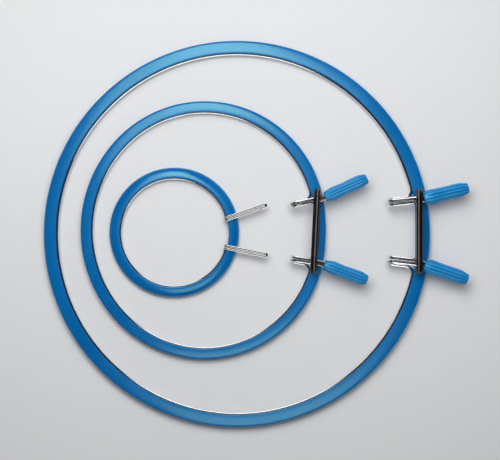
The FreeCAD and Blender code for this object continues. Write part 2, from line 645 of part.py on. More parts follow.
# small hoop
NODES.append(round_ring("small"))
SR = S("small_ring_inner") - S("wire_proud")
NODES.append(spring_back("small", SR, 0.0, 180.0 - S("small_pivot_angle"), S("small_gap_turn")))
NODES.append(place_arm("small_spring_upper",
                       bare_arm(1, 22.1, 5.0, 25.0, 2.0, 2.0, 19.3, (64.7, 19.6), 2.0), "small"))
NODES.append(place_arm("small_spring_lower",
                       bare_arm(-1, 23.5, 5.0, 25.0, 2.0, 2.0, 11.3, (65.4, 16.1), 2.0), "small"))

DOC.recompute()
for o in DOC.Objects:
    bad = [w for w in o.State if w in ("Invalid", "Error")]
    if bad:
        raise RuntimeError("%s is %s" % (o.Name, bad))
os.makedirs("parts", exist_ok=True)
lo, hi = [1e9] * 3, [-1e9] * 3
for n in NODES:
    s = n.Shape
    if s.isNull() or not s.isValid() or len(s.Solids) != 1:
        raise RuntimeError("%s has a bad shape: %d solids, valid %s" % (n.Label, len(s.Solids), s.isValid()))
    b = s.optimalBoundingBox(False, False)
    lo = [min(lo[0], b.XMin), min(lo[1], b.YMin), min(lo[2], b.ZMin)]
    hi = [max(hi[0], b.XMax), max(hi[1], b.YMax), max(hi[2], b.ZMax)]
    print("%-24s volume %9.1f  box %s" % (n.Label, s.Volume,
          " ".join("%.2f..%.2f" % p for p in ((b.XMin, b.XMax), (b.YMin, b.YMax), (b.ZMin, b.ZMax)))))
for n in NODES:
    n.Shape.exportStep("parts/%s.step" % n.Label)
print("whole set %s to %s" % (["%.3f" % v for v in lo], ["%.3f" % v for v in hi]))
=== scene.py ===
# Looks for the set of three nesting spring hoops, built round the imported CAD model.
import math

import bpy
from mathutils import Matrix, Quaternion, Vector
from mathutils.kdtree import KDTree


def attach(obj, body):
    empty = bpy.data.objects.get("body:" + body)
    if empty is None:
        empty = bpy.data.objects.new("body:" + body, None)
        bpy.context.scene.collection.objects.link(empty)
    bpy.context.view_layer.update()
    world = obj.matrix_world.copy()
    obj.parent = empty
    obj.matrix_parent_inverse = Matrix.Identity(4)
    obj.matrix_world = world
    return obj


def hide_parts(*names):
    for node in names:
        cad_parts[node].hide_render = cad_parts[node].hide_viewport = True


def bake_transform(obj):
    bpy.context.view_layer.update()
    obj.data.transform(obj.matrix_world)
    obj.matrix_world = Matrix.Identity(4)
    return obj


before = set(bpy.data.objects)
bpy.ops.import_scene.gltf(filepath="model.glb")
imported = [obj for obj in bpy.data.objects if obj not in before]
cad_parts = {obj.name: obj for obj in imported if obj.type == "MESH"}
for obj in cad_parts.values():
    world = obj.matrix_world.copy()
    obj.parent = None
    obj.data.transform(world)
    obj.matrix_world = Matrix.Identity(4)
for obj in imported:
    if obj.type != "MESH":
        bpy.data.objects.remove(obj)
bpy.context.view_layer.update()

MM = 0.001
UP = Vector((0, 0, 1))
DOWN = Vector((0, 0, -1))


# ------------------------------------------------------------------ helpers
def az(a):
    return Vector((math.cos(math.radians(a)), math.sin(math.radians(a)), 0))


def smooth_step(x, a, b):
    t = min(1.0, max(0.0, (x - a) / (b - a)))
    return t * t * (3 - 2 * t)


def make_mesh(name, verts, faces, uvs=None, smooth=True, sharp=60.0):
    """A mesh from millimetre points; uvs is one (u, v) in millimetres per face corner."""
    me = bpy.data.meshes.new(name)
    me.from_pydata([tuple(v * MM for v in p) for p in verts], [], faces)
    if uvs:
        layer = me.uv_layers.new(name="along")
        flat = []
        for f in uvs:
            for u, v in f:
                flat += [u, v]
        layer.data.foreach_set("uv", flat)
    me.validate()
    me.update()
    if smooth:
        me.shade_smooth()
        me.set_sharp_from_angle(angle=math.radians(sharp))
    ob = bpy.data.objects.new(name, me)
    bpy.context.scene.collection.objects.link(ob)
    return ob


def orient(verts, faces):
    """True where the closed mesh's faces point outwards."""
    vol = 0.0
    for f in faces:
        a = verts[f[0]]
        for i in range(1, len(f) - 1):
            vol += a.dot(verts[f[i]].cross(verts[f[i + 1]]))
    return vol > 0


def closed_mesh(name, verts, faces, uvs=None, sharp=60.0):
    if not orient(verts, faces):
        faces = [tuple(reversed(f)) for f in faces]
        uvs = [tuple(reversed(f)) for f in uvs] if uvs else None
    return make_mesh(name, verts, faces, uvs, True, sharp)


def loft(rings, closed_path, u_at, v_at, caps=True):
    """Faces and uvs between rings of equal length; u_at per ring, v_at per point (one more, to close)."""
    n, m = len(rings), len(rings[0])
    verts = [p for r in rings for p in r]
    faces, uvs = [], []
    last = n if closed_path else n - 1
    for i in range(last):
        k = (i + 1) % n
        for j in range(m):
            l = (j + 1) % m
            faces.append((i * m + j, k * m + j, k * m + l, i * m + l))
            uvs.append(((u_at[i], v_at[j]), (u_at[i + 1], v_at[j]),
                        (u_at[i + 1], v_at[j + 1]), (u_at[i], v_at[j + 1])))
    if not closed_path and caps:
        for i, turn in ((0, 1), (n - 1, -1)):
            loop = [i * m + j for j in range(m)]
            faces.append(tuple(loop if turn > 0 else reversed(loop)))
            uvs.append(tuple((u_at[i] + 0.001 * j, v_at[j]) for j in range(m)))
    return verts, faces, uvs


# ---------------------------------------------------------------- materials
def new_material(name):
    mat = bpy.data.materials.new(name)
    mat.use_nodes = True
    nt = mat.node_tree
    nt.nodes.clear()
    out = nt.nodes.new("ShaderNodeOutputMaterial")
    bsdf = nt.nodes.new("ShaderNodeBsdfPrincipled")
    nt.links.new(bsdf.outputs["BSDF"], out.inputs["Surface"])
    return mat, nt, bsdf


def node(nt, kind, **props):
    n = nt.nodes.new(kind)
    for k, v in props.items():
        setattr(n, k, v)
    return n


def mapping(nt, source, scale):
    m = node(nt, "ShaderNodeMapping")
    m.inputs["Scale"].default_value = scale
    nt.links.new(source, m.inputs["Vector"])
    return m.outputs["Vector"]


def noise(nt, vec, scale, detail=3.0, rough=0.5):
    n = node(nt, "ShaderNodeTexNoise")
    n.inputs["Scale"].default_value = scale
    n.inputs["Detail"].default_value = detail
    n.inputs["Roughness"].default_value = rough
    nt.links.new(vec, n.inputs["Vector"])
    return n.outputs["Fac"]


def ramp(nt, fac, stops):
    r = node(nt, "ShaderNodeValToRGB")
    while len(r.color_ramp.elements) < len(stops):
        r.color_ramp.elements.new(0.5)
    for e, (pos, col) in zip(r.color_ramp.elements, stops):
        e.position = pos
        e.color = (*col, 1) if hasattr(col, "__len__") else (col, col, col, 1)
    nt.links.new(fac, r.inputs["Fac"])
    return r.outputs["Color"]


def to_range(nt, fac, a, b, lo=0.0, hi=1.0):
    r = node(nt, "ShaderNodeMapRange")
    r.inputs["From Min"].default_value = lo
    r.inputs["From Max"].default_value = hi
    r.inputs["To Min"].default_value = a
    r.inputs["To Max"].default_value = b
    nt.links.new(fac, r.inputs["Value"])
    return r.outputs["Result"]


def math_node(nt, op, a, b=None):
    m = node(nt, "ShaderNodeMath", operation=op)
    for i, x in enumerate((a, b)):
        if x is None:
            continue
        if isinstance(x, (int, float)):
            m.inputs[i].default_value = x
        else:
            nt.links.new(x, m.inputs[i])
    return m.outputs[0]


def mix_colour(nt, fac, a, b, blend="MIX"):
    m = node(nt, "ShaderNodeMix", data_type="RGBA", blend_type=blend)
    for key, x in ((0, fac), (6, a), (7, b)):
        if isinstance(x, (int, float)):
            m.inputs[key].default_value = x
        elif isinstance(x, tuple):
            m.inputs[key].default_value = (*x, 1)
        else:
            nt.links.new(x, m.inputs[key])
    return m.outputs[2]


def bump(nt, height, distance, strength=1.0, normal=None):
    b = node(nt, "ShaderNodeBump")
    b.inputs["Strength"].default_value = strength
    b.inputs["Distance"].default_value = distance
    nt.links.new(height, b.inputs["Height"])
    if normal is not None:
        nt.links.new(normal, b.inputs["Normal"])
    return b.outputs["Normal"]


def blue_plastic(name, base, rough, worn, tint=(0.45, 1.0, 0.86)):
    """Moulded glossy plastic: faint clouding, fine moulded skin, hairline scuffs and paler rubbed spots."""
    mat, nt, p = new_material(name)
    tc = node(nt, "ShaderNodeTexCoord")
    obj = tc.outputs["Object"]
    uv = node(nt, "ShaderNodeUVMap", uv_map="along")
    # slow clouding of the pigment, and finer mottling
    cloud = noise(nt, obj, 28.0, 4.0, 0.55)
    fine = noise(nt, obj, 420.0, 3.0, 0.6)
    dark = tuple(c * 0.90 for c in base)
    pale = (base[0] * 1.2 + 0.001, base[1] * 1.09, base[2] * 1.06)
    col = ramp(nt, cloud, [(0.30, dark), (0.52, base), (0.74, pale)])
    col = mix_colour(nt, to_range(nt, fine, 0.0, 0.22, 0.45, 0.75), col,
                     tuple(min(1.0, c * 1.12) for c in base))
    # rubbed spots, where the skin has gone a little paler and duller
    rub = noise(nt, mapping(nt, uv.outputs["UV"], (0.030, 0.42, 1.0)), 1.0, 5.0, 0.62)
    rubbed = to_range(nt, rub, 0.0, worn, 0.60, 0.80)
    col = mix_colour(nt, rubbed, col, (base[0] + 0.02, base[1] * 1.22 + 0.01, base[2] * 1.14 + 0.01))
    nt.links.new(col, p.inputs["Base Color"])
    # roughness: skin plus scuffs that run along the piece
    scuff = noise(nt, mapping(nt, uv.outputs["UV"], (0.10, 9.0, 1.0)), 1.0, 4.0, 0.6)
    r = math_node(nt, "ADD", to_range(nt, cloud, rough - 0.03, rough + 0.03, 0.3, 0.7),
                  to_range(nt, scuff, 0.0, 0.10, 0.58, 0.74))
    r = math_node(nt, "ADD", r, to_range(nt, rub, 0.0, 0.10, 0.60, 0.80))
    nt.links.new(r, p.inputs["Roughness"])
    # bump: soft waviness of the moulding, its fine skin, and the scuffs
    wave = noise(nt, obj, 60.0, 2.0, 0.5)
    n = bump(nt, wave, 0.00007, 0.5)
    n = bump(nt, noise(nt, mapping(nt, uv.outputs["UV"], (0.16, 0.55, 1.0)), 1.0, 3.0, 0.55), 0.00003, 0.5, n)
    n = bump(nt, fine, 0.00001, 0.5, n)
    n = bump(nt, scuff, 0.000006, 0.6, n)
    nt.links.new(n, p.inputs["Normal"])
    p.inputs["IOR"].default_value = 1.9
    p.inputs["Specular Tint"].default_value = (*tint, 1)
    return mat


def fluted_plastic(name, base, rough):
    """Softer moulded plastic of the grips: painted shade darkens the flutes, the crests are painted paler (partly
    rubbed wear, partly painted highlight), scuffs along the ribs.
    """
    mat, nt, p = new_material(name)
    tc = node(nt, "ShaderNodeTexCoord")
    obj = tc.outputs["Object"]
    uv = node(nt, "ShaderNodeUVMap", uv_map="along")
    parts = node(nt, "ShaderNodeSeparateXYZ")
    nt.links.new(uv.outputs["UV"], parts.inputs["Vector"])
    # 0 in the middle of a flute, 1 on the crest of a rib
    crest = math_node(nt, "ABSOLUTE", math_node(nt, "COSINE", math_node(nt, "MULTIPLY", parts.outputs["Y"], math.pi)))
    cloud = noise(nt, obj, 60.0, 4.0, 0.55)
    wear_and_sheen = noise(nt, mapping(nt, uv.outputs["UV"], (0.055, 1.1, 1.0)), 1.0, 4.0, 0.6)
    # painted shade: the flutes are coloured darker, as the shade in them, and the crests a touch lighter
    flute_shade = tuple(c * 0.62 for c in base)
    pale = (base[0] + 0.030, base[1] * 1.50 + 0.012, base[2] * 1.32 + 0.010)
    col = ramp(nt, crest, [(0.10, flute_shade), (0.42, base), (0.90, base), (1.0, tuple(c * 1.1 for c in base))])
    # painted highlight on the crests, paler where they catch the light, made patchy by the wear noise
    col = mix_colour(nt, math_node(nt, "MULTIPLY", to_range(nt, crest, 0.0, 1.0, 0.72, 0.98),
                                   to_range(nt, wear_and_sheen, 0.15, 1.0, 0.40, 0.62)), col, pale)
    col = mix_colour(nt, to_range(nt, cloud, 0.0, 0.35, 0.45, 0.75), col, tuple(c * 0.86 for c in base))
    nt.links.new(col, p.inputs["Base Color"])
    scuff = noise(nt, mapping(nt, uv.outputs["UV"], (0.12, 14.0, 1.0)), 1.0, 4.0, 0.6)
    r = math_node(nt, "ADD", to_range(nt, cloud, rough - 0.03, rough + 0.04, 0.3, 0.7),
                  to_range(nt, scuff, 0.0, 0.12, 0.56, 0.74))
    nt.links.new(r, p.inputs["Roughness"])
    n = bump(nt, noise(nt, obj, 700.0, 3.0, 0.6), 0.00001, 0.5)
    n = bump(nt, scuff, 0.000008, 0.6, n)
    nt.links.new(n, p.inputs["Normal"])
    p.inputs["IOR"].default_value = 1.75
    p.inputs["Specular Tint"].default_value = (0.55, 1.0, 0.95, 1)
    return mat


def black_plastic(name):
    """Glossy black moulding with a faint warm cast, dust-dulled patches and fine scratches."""
    mat, nt, p = new_material(name)
    tc = node(nt, "ShaderNodeTexCoord")
    obj = tc.outputs["Object"]
    uv = node(nt, "ShaderNodeUVMap", uv_map="along")
    cloud = noise(nt, obj, 90.0, 4.0, 0.55)
    dust = noise(nt, obj, 900.0, 2.0, 0.7)
    col = ramp(nt, cloud, [(0.30, (0.0040, 0.0036, 0.0036)), (0.70, (0.0085, 0.0076, 0.0072))])
    col = mix_colour(nt, to_range(nt, dust, 0.0, 0.4, 0.68, 0.82), col, (0.030, 0.028, 0.026))
    nt.links.new(col, p.inputs["Base Color"])
    scratch = noise(nt, mapping(nt, uv.outputs["UV"], (0.08, 6.0, 1.0)), 1.0, 4.0, 0.6)
    r = math_node(nt, "ADD", to_range(nt, cloud, 0.19, 0.26, 0.3, 0.7),
                  to_range(nt, scratch, 0.0, 0.07, 0.56, 0.74))
    nt.links.new(r, p.inputs["Roughness"])
    n = bump(nt, noise(nt, obj, 180.0, 2.0, 0.5), 0.00003, 0.5)
    n = bump(nt, scratch, 0.000008, 0.6, n)
    nt.links.new(n, p.inputs["Normal"])
    p.inputs["IOR"].default_value = 1.5
    return mat


def seam_highlight_plastic(name):
    """Pale brown line painted on the mould seam as the highlight along the plate's rim, uneven along its length."""
    mat, nt, p = new_material(name)
    tc = node(nt, "ShaderNodeTexCoord")
    obj = tc.outputs["Object"]
    wear_and_sheen = noise(nt, obj, 160.0, 4.0, 0.6)
    col = ramp(nt, wear_and_sheen, [(0.30, (0.110, 0.094, 0.082)), (0.55, (0.200, 0.172, 0.150)), (0.78, (0.300, 0.270, 0.245))])
    nt.links.new(col, p.inputs["Base Color"])
    nt.links.new(to_range(nt, wear_and_sheen, 0.34, 0.52, 0.3, 0.7), p.inputs["Roughness"])
    nt.links.new(bump(nt, noise(nt, obj, 900.0, 3.0, 0.6), 0.00001, 0.5), p.inputs["Normal"])
    p.inputs["IOR"].default_value = 1.5
    return mat


def chrome_wire(name, dull, bright, line, rough):
    """Plated spring wire: the drawn wire's fine lines along it, slightly dull patches, and painted shade where two
    passes of a doubled wire face each other.
    """
    mat, nt, p = new_material(name)
    tc = node(nt, "ShaderNodeTexCoord")
    obj = tc.outputs["Object"]
    uv = node(nt, "ShaderNodeUVMap", uv_map="along")
    cloud = noise(nt, obj, 150.0, 3.0, 0.6)
    drawn = noise(nt, mapping(nt, uv.outputs["UV"], (0.045, 5.0, 1.0)), 1.0, 4.0, 0.65)
    col = ramp(nt, cloud, [(0.30, dull), (0.72, bright)])
    col = mix_colour(nt, to_range(nt, drawn, 0.0, 0.18, 0.52, 0.78), col, line)
    # painted shade: a near-black colour laid on the sides where two passes of a doubled wire face each other, uneven
    # along its edge
    between = node(nt, "ShaderNodeAttribute", attribute_name="between")
    edge = noise(nt, mapping(nt, uv.outputs["UV"], (0.22, 0.3, 1.0)), 1.0, 2.0, 0.5)
    between_shade = to_range(nt, math_node(nt, "ADD", between.outputs["Fac"], to_range(nt, edge, -0.25, 0.25, 0.35, 0.65)),
                    0.0, 0.92, 0.35, 0.65)
    col = mix_colour(nt, between_shade, col, (0.016, 0.016, 0.018))
    nt.links.new(col, p.inputs["Base Color"])
    p.inputs["Metallic"].default_value = 1.0
    r = math_node(nt, "ADD", to_range(nt, cloud, rough, rough + 0.07, 0.3, 0.7),
                  to_range(nt, drawn, 0.0, 0.08, 0.5, 0.8))
    nt.links.new(r, p.inputs["Roughness"])
    n = bump(nt, drawn, 0.000010, 0.6)
    nt.links.new(n, p.inputs["Normal"])
    return mat


BLUE = blue_plastic("moulded_blue", (0.0004, 0.149, 0.455), 0.190, 0.45)
GRIP = fluted_plastic("moulded_grip_blue", (0.0030, 0.226, 0.575), 0.22)
BLACK = black_plastic("moulded_black")
SEAM_HIGHLIGHT = seam_highlight_plastic("moulded_black_painted_seam_highlight")
CHROME = chrome_wire("plated_spring_wire", (0.76, 0.755, 0.74), (0.90, 0.90, 0.895), (0.52, 0.49, 0.46), 0.055)
NICKEL = chrome_wire("plated_spring_wire_small", (0.62, 0.615, 0.60), (0.74, 0.74, 0.735), (0.42, 0.40, 0.375), 0.05)
# painted shade and a painted brown reflection on the wire between the guide and the grips: darker, browner and duller
# chrome
STUB_SHADE_WIRE = chrome_wire("tarnished_spring_wire", (0.30, 0.245, 0.205), (0.50, 0.43, 0.37), (0.16, 0.125, 0.10), 0.18)


def give(ob, mat):
    ob.data.materials.clear()
    ob.data.materials.append(mat)
    return ob


# -------------------------------------------------------------- outer rings
BOTTOM_ROUND = 0.8
PROUD, CLEAR = 0.2, 0.15


def crown(width, r_out, r_in, crown_r, spread, lean):
    """Top of a ring from the outer wall to the inner wall as (inward offset, drop below the top).

    The tilt goes from 90 degrees at the outer wall through 0 to -90 at the inner one.
    The radius of curvature is small at the two edges and large over the crown.
    """
    pts, x, z, t = [(0.0, 0.0)], 0.0, 0.0, 90.0
    tilts = []
    while t > -90.0:
        step = 0.5
        mid = t - step / 2
        edge = r_out if mid > 0 else r_in
        f = math.exp(-((mid - lean) / spread) ** 2)
        rho = edge + (crown_r - edge) * f
        x += rho * math.cos(math.radians(mid)) * math.radians(step)
        z += rho * math.sin(math.radians(mid)) * math.radians(step)
        t -= step
        pts.append((x, z))
        tilts.append(t)
    k = width / x
    top = max(p[1] for p in pts)
    keep = [0]
    for i in range(1, len(pts)):
        tilt = tilts[i - 1]
        gap = 1.0 if abs(tilt) < 14 else 2.0 if abs(tilt) < 26 else 6.0
        if abs(tilt / gap - round(tilt / gap)) < 1e-6 or i == len(pts) - 1:
            keep.append(i)
    return [(pts[i][0] * k, top - pts[i][1]) for i in keep]


def ring_section(width, height, r_out, r_in, crown_r, spread, lean, wire_d):
    """Closed section of a ring as (inward offset from the outer wall, height), clockwise from the outer wall."""
    zc, rg = height / 2, wire_d / 2 + CLEAR
    top = [(e, height - drop) for e, drop in crown(width, r_out, r_in, crown_r, spread, lean)]
    sec = list(top)
    back = PROUD                                   # groove centre lies this far outside the inner wall
    dz = math.sqrt(rg * rg - back * back)
    # small break at the lips of the groove
    sec.append((width, zc + dz + 0.22))
    sec.append((width - 0.05, zc + dz + 0.06))
    lip = math.degrees(math.asin(back / rg))       # where the groove meets the inner wall
    for i in range(1, 14):
        a = math.radians(90 + lip + (180 - 2 * lip) * i / 14.0)
        sec.append((width + back + rg * math.cos(a), zc + rg * math.sin(a)))
    sec.append((width - 0.05, zc - dz - 0.06))
    sec.append((width, zc - dz - 0.22))
    for i in range(0, 5):
        a = math.radians(90.0 * i / 4)
        sec.append((width - BOTTOM_ROUND + BOTTOM_ROUND * math.cos(a), BOTTOM_ROUND - BOTTOM_ROUND * math.sin(a)))
    for i in range(0, 5):
        a = math.radians(90.0 * i / 4)
        sec.append((BOTTOM_ROUND - BOTTOM_ROUND * math.sin(a), BOTTOM_ROUND - BOTTOM_ROUND * math.cos(a)))
    # parting line of the moulding, a hair proud of the outer wall
    zp = height * 0.36
    sec += [(0.0, zp - 0.16), (-0.055, zp - 0.05), (-0.055, zp + 0.05), (0.0, zp + 0.16)]
    return sec


def ring_mesh(name, centre, stations, section, lengths):
    """Sweeps the section round; a station is (arc centre, outer radius, angle)."""
    rings = []
    for (cx, cy), r, a in stations:
        d = az(a)
        rings.append([Vector((centre[0] + cx, centre[1] + cy, 0)) + d * (r - e) + UP * z
                      for e, z in section])
    v = [0.0]
    for i in range(len(section)):
        a, b = section[i], section[(i + 1) % len(section)]
        v.append(v[-1] + math.hypot(b[0] - a[0], b[1] - a[1]))
    verts, faces, uvs = loft(rings, True, lengths, v)
    return closed_mesh(name, verts, faces, uvs, 50.0)


def round_stations(r, n):
    st = [((0.0, 0.0), r, 360.0 * i / n) for i in range(n)]
    return st, [2 * math.pi * r * i / n for i in range(n + 1)]


SIDE_R, SIDE_DY, BACK_DX, GAP_A = 84.24, 5.71, 6.20, 5.6
BACK_R = SIDE_R + math.hypot(BACK_DX, SIDE_DY)
BACK_A = 180.0 - math.degrees(math.atan2(SIDE_DY, BACK_DX))
GAP_SHIFT = SIDE_DY / math.tan(math.radians(GAP_A))
GAP_R = SIDE_R + SIDE_DY / math.sin(math.radians(GAP_A))


def oval_stations(step):
    arcs = [((-GAP_SHIFT, 0.0), GAP_R, 0.0, GAP_A), ((0.0, SIDE_DY), SIDE_R, GAP_A, BACK_A),
            ((BACK_DX, 0.0), BACK_R, BACK_A, 360.0 - BACK_A),
            ((0.0, -SIDE_DY), SIDE_R, 360.0 - BACK_A, 360.0 - GAP_A),
            ((-GAP_SHIFT, 0.0), GAP_R, 360.0 - GAP_A, 360.0)]
    st, u, total = [], [], 0.0
    for c, r, a0, a1 in arcs:
        length = r * math.radians(a1 - a0)
        n = max(2, int(round(length / step)))
        for i in range(n):
            st.append((c, r, a0 + (a1 - a0) * i / n))
            u.append(total + length * i / n)
        total += length
    return st, u + [total]


L_C, M_C, S_C = (-13.165, 0.0), (-35.655, 2.59), (-56.885, 1.06)

L_SEC = ring_section(8.6, 8.4, 2.0, 0.42, 48.0, 4.0, 5.0, 2.4)
M_SEC = ring_section(7.4, 7.6, 1.9, 0.42, 40.0, 3.8, 5.0, 2.0)
S_SEC = ring_section(7.2, 7.2, 3.2, 0.70, 11.0, 13.0, 17.0, 1.8)

st, u = round_stations(134.5, 600)
large_ring = give(ring_mesh("large_ring_moulding", L_C, st, L_SEC, u), BLUE)
st, u = oval_stations(1.35)
medium_ring = give(ring_mesh("medium_ring_moulding", M_C, st, M_SEC, u), BLUE)
st, u = round_stations(45.25, 288)
small_ring = give(ring_mesh("small_ring_moulding", S_C, st, S_SEC, u), BLUE)

for ob, body, cad in ((large_ring, "large_ring", "large_outer_ring"),
                      (medium_ring, "medium_hoop", "medium_outer_ring"),
                      (small_ring, "small_ring", "small_outer_ring")):
    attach(ob, body)
    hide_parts(cad)


# ------------------------------------------------------------- spring wires
class Bend:
    """A bent wire's centre line: straight runs and tangent arcs, sampled as it goes."""

    def __init__(self, p, d):
        self.p, self.d = Vector(p), Vector(d).normalized()
        self.pts = [self.p.copy()]

    def run(self, length):
        n = max(1, int(math.ceil(length / 1.6)))
        q = self.p.copy()
        for i in range(1, n + 1):
            self.pts.append(q + self.d * (length * i / n))
        self.p = q + self.d * length

    def turn(self, radius, axis, degrees, step=None):
        axis = Vector(axis).normalized()
        out = self.d.cross(axis)
        c = self.p - out * radius
        rel = self.p - c
        length = radius * math.radians(degrees)
        n = max(2, int(math.ceil(max(degrees / (step or 7.5), length / 1.7))))
        if radius > 30:
            n = max(2, int(math.ceil(length / 1.5)))
        for i in range(1, n + 1):
            self.pts.append(c + Quaternion(axis, math.radians(degrees * i / n)) @ rel)
        full = Quaternion(axis, math.radians(degrees))
        self.p = c + full @ rel
        self.d = full @ self.d


def tube(name, pts, dia, sides, round_end):
    """A closed tube along the points; its far end is rounded over as a sheared wire end is."""
    r = dia / 2
    n = len(pts)
    tang = []
    for i in range(n):
        a, b = pts[max(0, i - 1)], pts[min(n - 1, i + 1)]
        tang.append((b - a).normalized())
    side = tang[0].cross(UP).normalized()
    rings, u, total = [], [], 0.0
    for i in range(n):
        if i:
            total += (pts[i] - pts[i - 1]).length
            axis = tang[i - 1].cross(tang[i])
            if axis.length > 1e-9:
                side = Quaternion(axis.normalized(), tang[i - 1].angle(tang[i])) @ side
            side = (side - tang[i] * side.dot(tang[i])).normalized()
        up = side.cross(tang[i])
        rings.append([pts[i] + (side * math.cos(2 * math.pi * j / sides) + up * math.sin(2 * math.pi * j / sides)) * r
                      for j in range(sides)])
        u.append(total)
    if round_end:
        e = 0.35 * r
        base, t = pts[-1], tang[-1]
        last = rings[-1]
        for k, (f, g) in enumerate(((0.45, 0.93), (0.82, 0.80), (1.0, 0.62))):
            rings.append([base + t * (e * f) + (p - base) * g for p in last])
            u.append(total + e * f)
    v = [2 * math.pi * r * j / sides for j in range(sides + 1)]
    verts, faces, uvs = loft(rings, False, u, v)
    return closed_mesh(name, verts, faces, uvs, 50.0)


GRIP_POCKET = 24.6


def on_line(point, azimuth, x):
    a = az(azimuth)
    return (x, point[1] + (x - point[0]) * a.y / a.x)


def big_path(hoop, t, centre_arcs, bend_r, kink_r, far_turn):
    """Half of a big hoop's wire: from the middle of its back, round the groove, and out to the hook."""
    d, pitch = hoop["wire"], hoop["pitch"]
    z0, z1 = hoop["height"] / 2.0, hoop["handle_z"]
    first = centre_arcs[0]
    b = Bend(Vector((first[0][0], first[0][1], 0)) + az(first[2]) * first[1] + UP * z0, az(first[2] - 90))
    for i, (c, r, a0, a1) in enumerate(centre_arcs):
        end = t["end"] if a1 is None else a1
        b.turn(r, DOWN, a0 - end)
    end_angle = t["end"]
    b.turn(bend_r, DOWN, (end_angle - 90) - (t["top"] - 180))
    out, left = az(t["top"]), az(t["top"] + 90)
    top = Vector((t["point"][0], t["point"][1], 0)) + left * (pitch / 2.0)
    start_u = top + out * ((t["u"] - top.x) / out.x)
    b.run((b.p - start_u).dot(out))
    lateral = (start_u - b.p).dot(left)
    across = left * lateral + UP * (z1 - z0)
    b.turn(across.length / 2.0, b.d.cross(across), 180.0)
    kink = abs(t["grip"] - t["top"])
    t_in = kink_r * math.tan(math.radians(kink / 2.0))
    mid = Vector((t["point"][0], t["point"][1], 0))
    mid = mid + out * ((t["kink"] - mid.x) / out.x)
    b.run((mid - b.p).dot(out) - t_in)
    b.turn(kink_r - pitch / 2.0, UP, kink)
    along = az(t["grip"])
    k = on_line(t["point"], t["top"], t["kink"])
    root = on_line(k, t["grip"], t["root"])
    reach = GRIP_POCKET - pitch / 2 - d / 2 - 0.4
    end_c = Vector((root[0] + along.x * reach, root[1] + along.y * reach, 0))
    b.run((end_c - b.p).dot(along))
    b.turn(pitch / 2.0, DOWN, 180.0, 15)
    b.run((b.p - mid).dot(along) - t_in)
    b.turn(kink_r + pitch / 2.0, DOWN, kink)
    b.run((b.p - start_u).dot(out))
    b.turn(4.4, b.d.cross(DOWN), 95.0)
    return b.pts, root


def small_path(side, end_angle, top_az, tip):
    d, pitch, z0, z1, r = 1.8, 2.0, 3.6, 8.7, 37.85
    a0 = 134.0 - 0.5 * side + 46.0
    b = Bend(az(a0) * r + UP * z0, az(a0 - 90))
    b.turn(r, DOWN, a0 - end_angle)
    b.turn(5.0, DOWN, 25.0)
    b.turn(2.0, b.d.cross(UP), 90.0)
    b.run(z1 - z0 - 4.0)
    foot = Vector((b.p.x, b.p.y, 0))
    out = az(top_az)
    b.turn(2.0, b.d.cross(out), 90.0)
    b.run((Vector((tip[0], tip[1], 0)) - b.p).dot(out) - pitch / 2.0 - d / 2.0)
    b.turn(pitch / 2.0, DOWN, 180.0, 15)
    b.run((b.p - foot).dot(out) - 2.0)
    b.turn(2.0, b.d.cross(DOWN), 80.0)
    return b.pts


def placed(pts, centre, side):
    return [Vector((centre[0] + p.x, centre[1] + side * p.y, p.z)) for p in pts]


LARGE = {
    "upper": dict(side=1, end=14.8, point=(109.1, 21.8), top=6.3, u=110.1, kink=126.0, grip=13.6, root=129.2),
    "lower": dict(side=-1, end=13.3, point=(109.0, 17.65), top=6.5, u=110.0, kink=123.6, grip=18.6, root=129.5),
}
MEDIUM = {
    "upper": dict(side=1, end=16.45, point=(63.3, 18.0), top=12.2, u=64.6, kink=81.5, grip=24.4, root=83.5),
    "lower": dict(side=-1, end=18.4, point=(68.5, 20.65), top=9.6, u=64.6, kink=79.2, grip=20.0, root=82.8),
}
L_HOOP = dict(wire=2.4, pitch=2.9, height=8.4, handle_z=14.05)
M_HOOP = dict(wire=2.0, pitch=2.15, height=7.6, handle_z=13.45)
L_WIRE_R = 125.7
M_IN = 7.4 + PROUD


WIRES = []


def mark_doubled(ob, pts, dia, pitch, facing):
    """Vertex attribute named between: 1 on the sides that two passes of a doubled wire turn to each other, where the
    wire material paints shade.
    """
    r = dia / 2
    fine, along, total = [], [], 0.0
    for a, b in zip(pts, pts[1:]):
        n = max(1, int((b - a).length / 0.15))
        fine += [a.lerp(b, i / n) for i in range(n)]
        along += [total + (b - a).length * i / n for i in range(n)]
        total += (b - a).length
    tree = KDTree(len(fine))
    for i, q in enumerate(fine):
        tree.insert(q, i)
    tree.balance()
    reach = []
    for a in facing:
        c, t = math.cos(math.radians(a)), math.sin(math.radians(a))
        reach.append(math.hypot(pitch - r * t, r * c))
    attr = ob.data.attributes.new("between", "FLOAT", "POINT")
    for v in ob.data.vertices:
        q = v.co / MM
        own = along[tree.find(q)[1]]
        near = [d for _, i, d in tree.find_range(q, pitch + r) if abs(along[i] - own) > 3 * dia]
        if near:
            attr.data[v.index].value = 1.0 - smooth_step(min(near), reach[1], reach[0])


